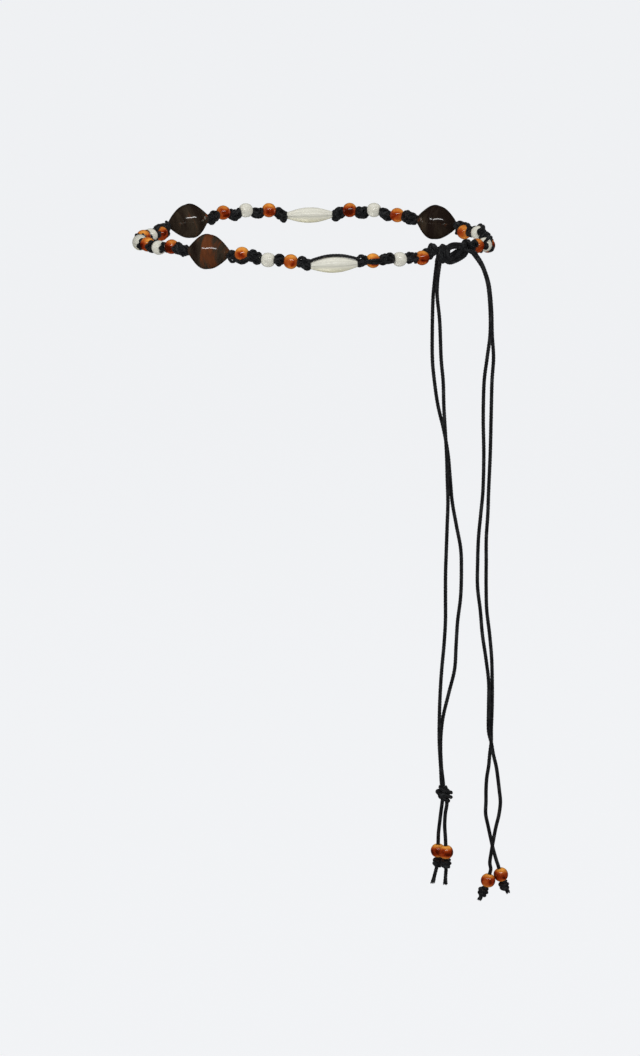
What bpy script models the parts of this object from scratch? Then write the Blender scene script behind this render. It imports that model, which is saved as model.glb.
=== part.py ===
"""Crochet cord belt with beads, tied at the front right, its two cord pairs hanging free.

The belt is a loop of black waxed cord, crocheted into short lumpy runs between beads. Seven runs carry
small amber and clear beads and end inside six large beads, three spindles and three dark ovals. Both ends
of the loop meet in a half knot of doubled cord. Two pairs of cord hang from it, each cord with an amber
bead and a stopper knot. Metres, +Z up, the origin at the middle of the waist opening, the front at -Y.
"""

import math

import bmesh
import bpy
from mathutils import Matrix, Vector

MM = 0.001

# The loop, measured along the line through the beads
LOOP_HALF_WIDTH = 0.121
LOOP_HALF_DEPTH = 0.107

# The cord and the crochet made from it
CORD_DIAMETER = 0.0026
CROCHET_HEIGHT = 0.0074
CROCHET_DEPTH = 0.0058
STITCH_LENGTH = 0.0045
STITCH_WAIST = 0.74
STITCH_SHOULDER = 0.66
SHOULDER_LENGTH = 0.0012
END_KNOT_LENGTH = 0.0068

# The beads, each with its hole along its length
AMBER_DIAMETER = 0.0102
AMBER_LENGTH = 0.0090
CLEAR_DIAMETER = 0.0100
CLEAR_LENGTH = 0.0088
SPINDLE_DIAMETER = 0.0109
SPINDLE_LENGTH = 0.0320
OVAL_DIAMETER = 0.0238
OVAL_LENGTH = 0.0295

# Clearances: a cord in its hole, one piece against the next, and the loop's ends against the slanted tie
CORD_CLEARANCE = 0.0003
PIECE_GAP = 0.0003
TIE_GAP = 0.00075

# The tie and the knots of the hanging cords
TIE_HEIGHT = 0.0100
TIE_DEPTH = 0.0015
BAND_DIAMETER = 0.0044
BAND_STEP = 0.0016
TAIL_STEP = 0.0066
PAIR_KNOT_WIDTH = 0.0108
PAIR_KNOT_HEIGHT = 0.0080
STOPPER_DIAMETER = 0.0068

HOLE_RADIUS = CORD_DIAMETER / 2 + CORD_CLEARANCE
STRAND_SHARE = CORD_DIAMETER / CROCHET_HEIGHT
SMALL_SIDES = 10
LARGE_SIDES = 14

# The loop's beads, from the knot that ends the loop on the right, round the back to the one on the left.
# Columns: kind, angle round the loop in degrees, the bead's lift, and the lift of the crochet after it,
# both as shares of the amber bead's diameter, and how far the bead is turned from the loop's own direction,
# in degrees about the vertical.
LOOP_BEADS = (
    ("amber", -21.5, 0.20, 0.00, 0.0),
    ("clear", -12.0, 0.00, -0.20, 0.0),
    ("amber", 1.0, -0.45, -0.10, 0.0),
    ("clear", 18.5, -0.10, -0.20, 0.0),
    ("amber", 29.5, -0.34, -0.20, 0.0),
    ("oval", 44.5, -0.03, 0.10, 20.0),
    ("amber", 61.0, 0.19, 0.10, 0.0),
    ("clear", 69.5, 0.44, 0.19, 0.0),
    ("amber", 78.0, 0.37, 0.02, 0.0),
    ("spindle", 91.5, -0.02, -0.03, 0.0),
    ("amber", 105.3, 0.38, 0.25, 0.0),
    ("clear", 113.5, 0.45, 0.21, 0.0),
    ("amber", 122.0, 0.41, 0.08, 0.0),
    ("oval", 137.0, 0.09, -0.32, -22.0),
    ("amber", 152.5, -0.40, -0.35, 0.0),
    ("clear", 161.0, -0.30, -0.25, 0.0),
    ("amber", 169.5, -0.15, -0.15, 0.0),
    ("spindle", 183.5, -0.10, 0.05, 0.0),
    ("amber", 198.0, 0.20, 0.15, 0.0),
    ("clear", 208.0, 0.25, 0.30, 0.0),
    ("amber", 216.0, 0.52, 0.40, 0.0),
    ("oval", 233.5, 0.55, 0.33, 15.0),
    ("amber", 246.0, 0.58, 0.48, 0.0),
    ("clear", 255.0, 0.28, 0.30, 0.0),
    ("amber", 262.5, 0.21, 0.12, 0.0),
    ("spindle", 276.5, 0.00, 0.20, 0.0),
    ("amber", 289.5, 0.19, 0.24, 0.0),
    ("clear", 299.0, 0.16, 0.22, 0.0),
    ("amber", 307.8, 0.11, 0.35, 0.0),
)
START_ANGLE = -29.5
START_LIFT = 0.45
START_CROCHET_LIFT = 0.35
END_ANGLE = 312.4
END_LIFT = 0.60

# Bead outlines. Columns: place along the half length, and half thickness, as shares of length and diameter.
BARREL_OUTLINE = ((1.0, 0.48), (0.74, 0.82), (0.28, 1.0))
DRUM_OUTLINE = ((1.0, 0.62), (0.76, 0.88), (0.36, 1.0))
SPINDLE_OUTLINE = ((1.0, 0.42), (0.66, 0.72), (0.34, 0.93), (0.0, 1.0))
OVAL_OUTLINE = ((1.0, 0.18), (0.80, 0.44), (0.58, 0.68), (0.36, 0.87), (0.17, 0.97), (0.0, 1.0))
BEAD_KINDS = {
    "amber": (AMBER_DIAMETER, AMBER_LENGTH, BARREL_OUTLINE, SMALL_SIDES),
    "clear": (CLEAR_DIAMETER, CLEAR_LENGTH, DRUM_OUTLINE, SMALL_SIDES),
    "spindle": (SPINDLE_DIAMETER, SPINDLE_LENGTH, SPINDLE_OUTLINE, SMALL_SIDES),
    "oval": (OVAL_DIAMETER, OVAL_LENGTH, OVAL_OUTLINE, LARGE_SIDES),
}
LARGE_KINDS = ("spindle", "oval")

# The tie's two bands of doubled cord. Columns: share of the way from the left end of the loop to the right
# end, height as a share of the tie's height, depth to the front as a share of its depth, and thickness share.
# The arch comes from the right end, passes over the eye of the tie and hangs out at the left.
ARCH_BAND = (
    (1.00, 0.02, 0.0, 0.95),
    (0.85, 0.00, 0.0, 1.00),
    (0.63, 0.05, 0.0, 1.05),
    (0.49, 0.00, -0.2, 1.10),
    (0.34, -0.12, -0.2, 1.20),
    (0.18, -0.22, 0.3, 1.15),
    (0.09, -0.45, 0.9, 1.00),
    (0.06, -0.75, 0.4, 0.95),
    (0.06, -1.06, -0.5, 0.85),
)
# The cradle comes from the left end, wraps over the arch, passes under the eye and hangs out at the right.
CRADLE_BAND = (
    (0.03, -0.06, 0.0, 0.75),
    (0.09, -0.12, -0.4, 0.80),
    (0.19, -0.14, -1.4, 0.90),
    (0.25, 0.08, -0.4, 0.95),
    (0.22, -0.18, 1.5, 1.05),
    (0.23, -0.58, 1.4, 1.35),
    (0.37, -0.84, 0.4, 1.50),
    (0.58, -0.72, 0.0, 1.35),
    (0.76, -0.57, 0.0, 1.50),
    (0.89, -0.50, 0.3, 1.60),
    (0.98, -0.44, 1.1, 1.10),
    (1.05, -0.40, 2.2, 0.85),
    (1.09, -0.46, 3.1, 0.80),
    (1.13, -0.58, 3.7, 0.80),
)

# Routes of the hanging cords, in millimetres. Columns: height, x of cord a, x of cord b, and half the
# depth between the two.
LEFT_PAIR_Y = -74.5
LEFT_UPPER_ROUTE = (
    (-5.5, 83.9, 86.7, 1.45),
    (-12.0, 83.0, 85.5, 1.45),
    (-20.0, 82.0, 85.0, 1.45),
    (-28.5, 81.5, 85.0, 1.45),
    (-45.0, 81.5, 86.5, 1.45),
    (-70.0, 81.5, 87.5, 1.45),
    (-87.0, 83.0, 89.0, 1.45),
    (-104.0, 85.5, 89.5, 1.45),
    (-121.0, 89.5, 90.5, 1.45),
    (-138.0, 92.5, 91.5, 1.45),
    (-154.5, 94.0, 92.0, 1.45),
    (-171.5, 95.5, 92.5, 1.45),
    (-188.5, 98.5, 92.0, 1.45),
    (-205.0, 101.5, 91.5, 1.45),
    (-222.0, 102.0, 91.0, 1.45),
    (-239.0, 101.5, 91.0, 1.45),
    (-256.0, 99.5, 91.0, 1.45),
    (-273.0, 98.5, 90.0, 1.45),
    (-290.0, 97.5, 88.5, 1.45),
    (-307.0, 93.5, 87.5, 1.45),
    (-324.5, 89.5, 87.0, 1.45),
    (-341.0, 88.0, 87.0, 1.45),
    (-358.5, 88.5, 88.0, 1.45),
    (-373.0, 90.0, 89.0, 1.45),
)
LEFT_LOWER_ROUTE = (
    (-383.5, 89.3, 92.3, 1.3),
    (-392.0, 88.3, 91.3, 1.8),
    (-400.0, 87.4, 90.9, 2.8),
    (-407.0, 86.7, 91.3, 3.9),
)
RIGHT_PAIR_Y = -57.0
RIGHT_ROUTE = (
    (-1.4, 110.4, 111.8, 1.45),
    (-6.4, 114.0, 115.0, 1.45),
    (-12.0, 117.0, 117.5, 1.45),
    (-23.0, 120.0, 120.8, 1.45),
    (-40.0, 121.5, 122.5, 1.45),
    (-57.0, 121.5, 123.0, 1.45),
    (-73.5, 119.5, 124.0, 1.45),
    (-90.5, 117.5, 123.0, 1.45),
    (-115.5, 117.0, 122.5, 1.45),
    (-141.0, 117.5, 122.0, 1.45),
    (-166.5, 117.0, 121.0, 1.45),
    (-183.5, 115.5, 120.5, 1.45),
    (-200.5, 114.0, 119.5, 1.45),
    (-217.5, 113.5, 119.5, 1.45),
    (-234.5, 113.5, 119.5, 1.45),
    (-251.5, 115.5, 120.0, 1.45),
    (-268.5, 117.0, 122.0, 1.45),
    (-285.5, 119.5, 123.5, 1.45),
    (-302.5, 121.5, 124.0, 1.45),
    (-319.5, 121.5, 124.0, 1.45),
    (-336.5, 121.5, 123.5, 1.45),
    (-345.5, 123.5, 123.5, 1.45),
    (-354.0, 125.0, 122.5, 1.45),
    (-362.5, 127.0, 121.8, 1.45),
    (-371.0, 128.2, 120.5, 1.45),
    (-379.5, 129.2, 120.0, 1.45),
    (-388.0, 130.0, 120.0, 1.45),
    (-397.0, 129.0, 119.8, 1.45),
    (-405.5, 127.0, 121.5, 1.45),
    (-414.0, 125.4, 123.3, 1.45),
    (-422.5, 124.0, 125.2, 1.4),
    (-431.0, 122.8, 127.6, 1.6),
)
# The ends of the cords, in millimetres: the middle of the bead, the middle of the knot and the cut end
TAIL_ENDS = {
    "left_a": ((86.4, -70.0, -419.8), (86.3, -70.2, -427.9), (82.9, -71.5, -442.0)),
    "left_b": ((91.8, -79.0, -418.8), (92.0, -78.8, -426.8), (91.4, -77.5, -441.6)),
    "right_a": ((121.6, -58.8, -444.0), (118.1, -59.4, -451.7), (115.8, -59.8, -457.2)),
    "right_b": ((130.6, -55.2, -440.6), (132.8, -54.8, -448.3), (135.6, -54.3, -453.4)),
}
PAIR_KNOT_AT = (90.6, -74.5, -378.2)

# Shapes of the knots. Columns: share of the way along the stretch, and thickness share: of the knot's own
# diameter above and below its middle, of the cord's at the cut end.
KNOT_TOP_SHAPE = ((0.0, 0.45), (0.45, 0.92), (1.0, 1.0))
KNOT_FOOT_SHAPE = ((0.6, 0.85),)
CUT_END_SHAPE = ((0.0, 1.05), (0.75, 1.0), (1.0, 1.35))
PAIR_KNOT_SHAPE = (
    (-1.0, 0.40),
    (-0.80, 0.80),
    (-0.42, 0.95),
    (0.0, 0.86),
    (0.42, 1.0),
    (0.82, 0.80),
    (1.0, 0.40),
)
PAIR_KNOT_LEAN = Vector((1.0, 0.0, -0.30))


def make_material(name, colour, roughness):
    material = bpy.data.materials.new(name)
    material.use_nodes = True
    shader = material.node_tree.nodes["Principled BSDF"]
    shader.inputs["Base Color"].default_value = (*colour, 1.0)
    shader.inputs["Roughness"].default_value = roughness
    shader.inputs["Metallic"].default_value = 0.0
    return material


class Workshop:
    """The collections, the parent empty and the materials that every piece uses."""

    def __init__(self):
        for old in list(bpy.data.objects):
            bpy.data.objects.remove(old)
        self.parts = self.add_collection("crochet_belt")
        self.guides = self.add_collection("guides")
        self.waist = bpy.data.objects.new("waist_centre", None)
        self.parts.objects.link(self.waist)
        self.materials = {
            "cord": make_material("waxed_black_cord", (0.012, 0.012, 0.014), 0.55),
            "amber": make_material("amber_glass", (0.62, 0.16, 0.03), 0.10),
            "clear": make_material("milky_glass", (0.80, 0.79, 0.72), 0.20),
            "spindle": make_material("cream_acrylic", (0.78, 0.76, 0.66), 0.22),
            "oval": make_material("tortoise_brown", (0.045, 0.022, 0.016), 0.12),
        }

    def add_collection(self, name):
        collection = bpy.data.collections.new(name)
        bpy.context.scene.collection.children.link(collection)
        return collection

    def add(self, name, data, material):
        """A new object in the belt's collection, parented to the waist centre."""
        piece = bpy.data.objects.new(name, data)
        piece.data.materials.clear()
        piece.data.materials.append(self.materials[material])
        piece.parent = self.waist
        self.parts.objects.link(piece)
        return piece

    def add_guide(self, name, data):
        guide = bpy.data.objects.new(name, data)
        guide.hide_render = True
        guide.display_type = "WIRE"
        self.guides.objects.link(guide)
        return guide


def loop_point(angle, lift):
    """A point on the loop: its angle in degrees and its lift as a share of the amber bead's diameter."""
    turn = math.radians(angle)
    return Vector((LOOP_HALF_WIDTH * math.cos(turn), LOOP_HALF_DEPTH * math.sin(turn), lift * AMBER_DIAMETER))


def smooth_point(start, start_way, end, end_way, share):
    """A point on the smooth curve that leaves the start along one vector and meets the end along another."""
    return (
        start * (2 * share**3 - 3 * share**2 + 1)
        + start_way * (share**3 - 2 * share**2 + share)
        + end * (3 * share**2 - 2 * share**3)
        + end_way * (share**3 - share**2)
    )


def smooth_points(route, spacing):
    """Points at about equal spacing along the smooth curve through the route's points."""
    padded = [route[0] * 2 - route[1], *route, route[-1] * 2 - route[-2]]
    dense = []
    fine_steps = 12
    for before, start, end, after in zip(padded, padded[1:], padded[2:], padded[3:]):
        for step in range(fine_steps):
            t = step / fine_steps
            dense.append(smooth_point(start, (end - before) / 2, end, (after - start) / 2, t))
    dense.append(route[-1])
    lengths = [0.0]
    for one, other in zip(dense, dense[1:]):
        lengths.append(lengths[-1] + (other - one).length)
    count = max(2, round(lengths[-1] / spacing))
    chosen = []
    at = 0
    for index in range(count + 1):
        wanted = lengths[-1] * index / count
        while at < len(lengths) - 2 and lengths[at + 1] < wanted:
            at += 1
        share = (wanted - lengths[at]) / max(lengths[at + 1] - lengths[at], 1e-9)
        chosen.append(dense[at].lerp(dense[at + 1], min(share, 1.0)))
    return chosen


def poly_curve(name, points, radii):
    """A curve of straight pieces through the points, each with its own radius share."""
    curve = bpy.data.curves.new(name, "CURVE")
    curve.dimensions = "3D"
    curve.use_fill_caps = True
    spline = curve.splines.new("POLY")
    spline.points.add(len(points) - 1)
    for point, place, radius in zip(spline.points, points, radii):
        point.co = (*place, 1.0)
        point.radius = radius
    return curve


def add_tube(shop, name, points, radii=None):
    """A round cord of the cord's own diameter, or thicker where the radius share is over 1."""
    curve = poly_curve(name, points, radii or [1.0] * len(points))
    curve.bevel_depth = CORD_DIAMETER / 2
    curve.bevel_resolution = 2
    return shop.add(name, curve, "cord")


def make_profile(shop, name, width, height, sides):
    """An outline of a crocheted or doubled cord: a flattened round, to be swept along a curve."""
    curve = bpy.data.curves.new(name, "CURVE")
    curve.dimensions = "2D"
    spline = curve.splines.new("POLY")
    spline.points.add(sides - 1)
    spline.use_cyclic_u = True
    for index, point in enumerate(spline.points):
        turn = -math.tau * (index + 0.5) / sides
        point.co = (width / 2 * math.cos(turn), height / 2 * math.sin(turn), 0.0, 1.0)
    return shop.add_guide(name, curve)


def sweep(shop, name, points, radii, profile):
    """A solid with the profile's outline along the points, kept upright."""
    curve = poly_curve(name, points, radii)
    curve.bevel_mode = "OBJECT"
    curve.bevel_object = profile
    curve.twist_mode = "Z_UP"
    return shop.add(name, curve, "cord")


def bead_mesh(kind):
    """The half outline of a bead, closed through its hole, for a Screw modifier to turn about Z."""
    diameter, length, outline, _ = BEAD_KINDS[kind]
    upper = [(share * diameter / 2, place * length / 2) for place, share in outline]
    lower = [(radius, -height) for radius, height in reversed(upper) if height > 0.0]
    outer = upper + lower
    profile = [*outer, (HOLE_RADIUS, -length / 2), (HOLE_RADIUS, length / 2)]
    mesh = bpy.data.meshes.new(kind + "_bead_outline")
    mesh.from_pydata(
        [(radius, 0.0, height) for radius, height in profile],
        [(index, (index + 1) % len(profile)) for index in range(len(profile))],
        [],
    )
    return mesh


def add_bead(shop, name, kind, centre, axis):
    bead = shop.add(name, bead_mesh(kind), kind)
    bead.location = centre
    bead.rotation_euler = axis.to_track_quat("Z", "Y").to_euler()
    turn = bead.modifiers.new("turn", "SCREW")
    turn.steps = turn.render_steps = BEAD_KINDS[kind][3]
    turn.use_merge_vertices = True
    turn.merge_threshold = 0.00001
    return bead


class Station:
    """A bead on the loop: its kind, middle, direction and half length, and the crochet's lift after it."""

    def __init__(self, row, lift_before, angle_before, angle_after):
        kind, angle, lift, lift_after, turn = row
        self.kind = kind
        self.crochet_lift = lift_after
        self.centre = loop_point(angle, lift)
        ahead = loop_point((angle + angle_after) / 2, lift_after)
        behind = loop_point((angle + angle_before) / 2, lift_before)
        tangent = loop_point(angle + 1.0, 0.0) - loop_point(angle - 1.0, 0.0)
        tangent = Matrix.Rotation(math.radians(turn), 3, "Z") @ tangent
        run = Vector((ahead.x - behind.x, ahead.y - behind.y, 0.0)).length
        slope = (ahead.z - behind.z) / run
        self.axis = Vector((tangent.x, tangent.y, tangent.length * slope)).normalized()
        self.half = BEAD_KINDS[kind][1] / 2

    def near_face(self):
        return self.centre - self.axis * (self.half + PIECE_GAP)

    def far_face(self):
        return self.centre + self.axis * (self.half + PIECE_GAP)


def loop_stations():
    stations = []
    for index, row in enumerate(LOOP_BEADS):
        if index:
            _, angle_before, _, lift_before, _ = LOOP_BEADS[index - 1]
        else:
            angle_before, lift_before = START_ANGLE, START_CROCHET_LIFT
        last = index + 1 == len(LOOP_BEADS)
        angle_after = END_ANGLE if last else LOOP_BEADS[index + 1][1]
        stations.append(Station(row, lift_before, angle_before, angle_after))
    return stations


def crochet_rings(start, start_way, end, end_way, lift=None, open_start=False, open_end=False):
    """Points and radius shares of one stretch of crochet: thin at a bead, then one lump for each stitch."""
    straight = (end - start).length
    ends = (start, start_way * straight, end, end_way * straight)
    middle = smooth_point(*ends, 0.5)
    drop = Vector((0.0, 0.0, lift * AMBER_DIAMETER - middle.z if lift is not None else 0.0))
    lumps = max(1, round(straight / STITCH_LENGTH))
    shoulder = min(SHOULDER_LENGTH / straight, 0.25 / lumps)
    places = [(0.0, STITCH_SHOULDER if open_start else STRAND_SHARE), (shoulder, STITCH_SHOULDER)]
    if open_start:
        places = [(0.0, STITCH_SHOULDER)]
    for lump in range(lumps):
        if lump:
            places.append((lump / lumps, STITCH_WAIST))
        places.append(((lump + 0.5) / lumps, 1.0))
    if open_end:
        places.append((1.0, STITCH_SHOULDER))
    else:
        places += [(1.0 - shoulder, STITCH_SHOULDER), (1.0, STRAND_SHARE)]
    points = []
    for share, _ in places:
        if open_start:
            follow = math.cos(math.pi / 2 * share) ** 2
        elif open_end:
            follow = math.sin(math.pi / 2 * share) ** 2
        else:
            follow = math.sin(math.pi * share) ** 2
        points.append(smooth_point(*ends, share) + drop * follow)
    return points, [radius for _, radius in places]


def loop_ends():
    """Where the crochet begins and ends, at the tie: two points and the directions to the tie."""
    start = loop_point(START_ANGLE, START_LIFT)
    start_way = (loop_point(START_ANGLE - 1.0, START_LIFT) - start).normalized()
    end = loop_point(END_ANGLE, END_LIFT)
    end_way = (loop_point(END_ANGLE + 1.0, END_LIFT) - end).normalized()
    return (
        start + start_way * END_KNOT_LENGTH / 2,
        start_way,
        end + end_way * END_KNOT_LENGTH / 2,
        end_way,
    )


def add_crochet(shop, stations):
    """Seven runs: from the tie through small beads to a large bead, between large beads, and back."""
    profile = make_profile(shop, "crochet_outline", CROCHET_DEPTH, CROCHET_HEIGHT, 6)
    start, start_way, end, end_way = loop_ends()
    first = stations[0]
    points, radii = crochet_rings(start, -start_way, first.near_face(), first.axis, open_start=True)
    number = 1
    for here, there in zip(stations, [*stations[1:], None]):
        if here.kind in LARGE_KINDS:
            points.append(here.centre - here.axis * PIECE_GAP / 2)
            radii.append(STRAND_SHARE)
            sweep(shop, f"crochet_run_{number}", points, radii, profile)
            number += 1
            points, radii = [here.centre + here.axis * PIECE_GAP / 2], [STRAND_SHARE]
        if there:
            ends = (here.far_face(), here.axis, there.near_face(), there.axis)
            more, wide = crochet_rings(*ends, here.crochet_lift)
        else:
            more, wide = crochet_rings(here.far_face(), here.axis, end, end_way, open_end=True)
        points += more
        radii += wide
    sweep(shop, f"crochet_run_{number}", points, radii, profile)


def mesh_of_curve(shop, curve_object):
    """The curve's solid as a mesh object, with its caps welded on."""
    graph = bpy.context.evaluated_depsgraph_get()
    mesh = bpy.data.meshes.new_from_object(curve_object.evaluated_get(graph))
    shape = bmesh.new()
    shape.from_mesh(mesh)
    bmesh.ops.remove_doubles(shape, verts=shape.verts, dist=0.000001)
    bmesh.ops.recalc_face_normals(shape, faces=shape.faces)
    shape.to_mesh(mesh)
    shape.free()
    name = curve_object.name
    place = curve_object.matrix_world.copy()
    bpy.data.objects.remove(curve_object)
    solid = shop.add(name, mesh, "cord")
    solid.matrix_world = place
    return solid


def band_points(table, left, right):
    """Points and radius shares of one band of the tie, smooth through the rows of its table."""
    along = right - left
    outward = Vector((along.y, -along.x, 0.0)).normalized() * TIE_DEPTH
    up = Vector((0.0, 0.0, TIE_HEIGHT))
    route = []
    for share, height, depth, thickness in table:
        place = left + along * share + up * height + outward * depth
        route.append(Vector((*place, thickness * BAND_DIAMETER / 2)))
    points = smooth_points(route, BAND_STEP)
    return [point.to_3d() for point in points], [point.w / (CORD_DIAMETER / 2) for point in points]


def add_tie(shop):
    """The half knot that joins the loop's ends: two bands of doubled cord, wrapped about each other."""
    right, right_way, left, left_way = loop_ends()
    left = left + left_way * TIE_GAP
    right = right + right_way * TIE_GAP
    bands = {}
    for name, table in (("tie_band", ARCH_BAND), ("tie_knot", CRADLE_BAND)):
        points, radii = band_points(table, left, right)
        bands[name] = add_tube(shop, name, points, radii)
    bpy.context.view_layer.update()
    knot = mesh_of_curve(shop, bands["tie_knot"])
    band = mesh_of_curve(shop, bands["tie_band"])
    shop.parts.objects.unlink(band)
    shop.guides.objects.link(band)
    band.hide_render = True
    band.display_type = "WIRE"
    union = knot.modifiers.new("join_bands", "BOOLEAN")
    union.operation = "UNION"
    union.object = band
    union.use_self = True


def pair_routes(rows, middle_y, front):
    """The two routes of a pair of cords, in metres. The named cord of the pair hangs in front."""
    routes = {"a": [], "b": []}
    for height, x_a, x_b, half_depth in rows:
        for cord, x in (("a", x_a), ("b", x_b)):
            y = middle_y + (-half_depth if cord == front else half_depth)
            routes[cord].append(Vector((x, y, height)) * MM)
    return routes


def add_tail_end(shop, name, above):
    """The bead on a hanging cord and the stopper knot below it. Gives the cord's points through the bead."""
    bead_at, knot_at, end_at = (Vector(place) * MM for place in TAIL_ENDS[name])
    axis = (knot_at - above).normalized()
    half = AMBER_LENGTH / 2
    add_bead(shop, "tail_bead_" + name, "amber", bead_at, axis)
    top = bead_at + axis * (half + PIECE_GAP * 2)
    tip = (end_at - knot_at).normalized()
    below = knot_at + tip * STOPPER_DIAMETER / 2
    knot_share = STOPPER_DIAMETER / CORD_DIAMETER
    points = [top.lerp(knot_at, place) for place, _ in KNOT_TOP_SHAPE]
    points += [knot_at.lerp(below, place) for place, _ in KNOT_FOOT_SHAPE]
    points += [below.lerp(end_at, place) for place, _ in CUT_END_SHAPE]
    radii = [share * knot_share for _, share in KNOT_TOP_SHAPE + KNOT_FOOT_SHAPE]
    radii += [share for _, share in CUT_END_SHAPE]
    add_tube(shop, "stopper_knot_" + name, points, radii)
    above_bead = bead_at - axis * (half + CORD_DIAMETER * 1.5)
    return [above_bead, bead_at - axis * half, bead_at, bead_at + axis * half]


def add_tails(shop):
    upper = pair_routes(LEFT_UPPER_ROUTE, LEFT_PAIR_Y, "b")
    lower = pair_routes(LEFT_LOWER_ROUTE, LEFT_PAIR_Y, "b")
    whole = pair_routes(RIGHT_ROUTE, RIGHT_PAIR_Y, "a")
    for cord in ("a", "b"):
        add_tube(shop, "tail_cord_left_upper_" + cord, smooth_points(upper[cord], TAIL_STEP))
        route = lower[cord] + add_tail_end(shop, "left_" + cord, lower[cord][-1])
        add_tube(shop, "tail_cord_left_lower_" + cord, smooth_points(route, TAIL_STEP))
        route = whole[cord] + add_tail_end(shop, "right_" + cord, whole[cord][-1])
        add_tube(shop, "tail_cord_right_" + cord, smooth_points(route, TAIL_STEP))


def add_pair_knot(shop):
    """The knot that holds the left pair together: two lumps side by side, the right one lower."""
    centre = Vector(PAIR_KNOT_AT) * MM
    lean = PAIR_KNOT_LEAN.normalized()
    points = [centre + lean * PAIR_KNOT_WIDTH / 2 * place for place, _ in PAIR_KNOT_SHAPE]
    radii = [share * PAIR_KNOT_HEIGHT / CORD_DIAMETER for _, share in PAIR_KNOT_SHAPE]
    add_tube(shop, "pair_knot", points, radii)


def main():
    shop = Workshop()
    stations = loop_stations()
    counts = dict.fromkeys(BEAD_KINDS, 0)
    for station in stations:
        counts[station.kind] += 1
        name = f"{station.kind}_bead_{counts[station.kind]:02d}"
        add_bead(shop, name, station.kind, station.centre, station.axis)
    add_crochet(shop, stations)
    add_tie(shop)
    add_tails(shop)
    add_pair_knot(shop)


main()
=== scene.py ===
"""Crochet bead belt: the finish of every bead, the crochet of real cord, the tie and the hanging cords.

It is laid out as an add-on and run as a script, on the belt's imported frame. Metres, +Z up, the front at -Y.
"""

import math
import random

import bpy
from bpy.props import FloatProperty, FloatVectorProperty, IntProperty, PointerProperty
from mathutils import Matrix, Quaternion, Vector, noise


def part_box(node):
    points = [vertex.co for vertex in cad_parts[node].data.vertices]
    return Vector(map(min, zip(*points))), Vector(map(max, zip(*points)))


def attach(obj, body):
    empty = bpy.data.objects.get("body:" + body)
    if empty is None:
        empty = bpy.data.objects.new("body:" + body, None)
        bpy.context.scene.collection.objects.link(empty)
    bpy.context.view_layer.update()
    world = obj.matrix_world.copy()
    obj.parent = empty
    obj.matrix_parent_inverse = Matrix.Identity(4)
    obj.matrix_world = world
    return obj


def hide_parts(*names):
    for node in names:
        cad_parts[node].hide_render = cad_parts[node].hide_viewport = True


bl_info = {
    "name": "Crochet bead belt",
    "version": (1, 0, 0),
    "blender": (4, 5, 0),
    "location": "View3D > Sidebar > Belt",
    "description": "Builds a crochet cord belt with glass and acrylic beads round its packed frame",
    "category": "Add Mesh",
}

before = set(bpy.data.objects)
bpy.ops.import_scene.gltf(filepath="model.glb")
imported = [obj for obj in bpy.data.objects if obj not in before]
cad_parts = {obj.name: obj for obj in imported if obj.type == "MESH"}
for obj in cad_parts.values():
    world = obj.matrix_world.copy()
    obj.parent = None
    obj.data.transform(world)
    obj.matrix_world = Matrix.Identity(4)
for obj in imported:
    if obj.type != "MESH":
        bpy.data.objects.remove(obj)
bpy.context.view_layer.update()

MM = 0.001

# The loop's beads from the tie's right end, round the back, to its left end. Columns: kind, lift of the
# crochet after it as a share of the amber bead's diameter, where the cords beside it pass in degrees round
# it (0 is outwards, 90 up), how many they are, and how red or dark the bead is.
LOOP_BEADS = (
    ("amber", 0.00, 0, 0, 0.80),
    ("clear", -0.20, 60, 1, 0.2),
    ("amber", -0.10, 78, 2, 0.7),
    ("clear", -0.20, 60, 2, 0.6),
    ("amber", -0.20, 70, 2, 0.35),
    ("oval", 0.10, 0, 0, 0.0),
    ("amber", 0.08, 0, 0, 0.45),
    ("clear", 0.12, 0, 0, 0.4),
    ("amber", 0.02, 0, 0, 0.85),
    ("spindle", -0.03, 0, 0, 0.3),
    ("amber", 0.14, 0, 0, 0.50),
    ("clear", 0.14, 0, 0, 0.1),
    ("amber", 0.05, 0, 0, 0.70),
    ("oval", -0.32, 0, 0, 0.3),
    ("amber", -0.35, 70, 3, 0.75),
    ("clear", -0.25, 230, 2, 0.5),
    ("amber", -0.15, 0, 0, 0.70),
    ("spindle", 0.05, 190, 1, 0.6),
    ("amber", 0.15, 0, 0, 0.70),
    ("clear", 0.30, 180, 3, 0.3),
    ("amber", 0.40, 0, 0, 0.95),
    ("oval", 0.33, 0, 0, 1.0),
    ("amber", 0.43, 298, 3, 0.10),
    ("clear", 0.30, 0, 0, 0.3),
    ("amber", 0.12, 0, 0, 0.15),
    ("spindle", 0.20, 86, 1, 0.4),
    ("amber", 0.24, 2, 2, 0.00),
    ("clear", 0.22, 0, 0, 0.7),
    ("amber", 0.35, 0, 0, 0.55),
)
# How far each oval is turned from the loop's own direction, in degrees about the vertical
OVAL_TURNS = {"oval_bead_01": 20.0, "oval_bead_02": -22.0, "oval_bead_03": 15.0}
# The oval whose rounder flank comes after its middle, on the way round the loop
TURNED_ROUND = ("oval_bead_01",)
# The beads that have slimmer crochet before them, of one chain on its core
SLIM_BEFORE = ("clear_bead_01", "amber_bead_02", "clear_bead_02", "amber_bead_03")
LARGE_KINDS = ("spindle", "oval")
START_ANGLE = -29.5
START_LIFT = 0.45
START_CROCHET_LIFT = 0.35
END_ANGLE = 312.4
END_LIFT = 0.60

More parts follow.
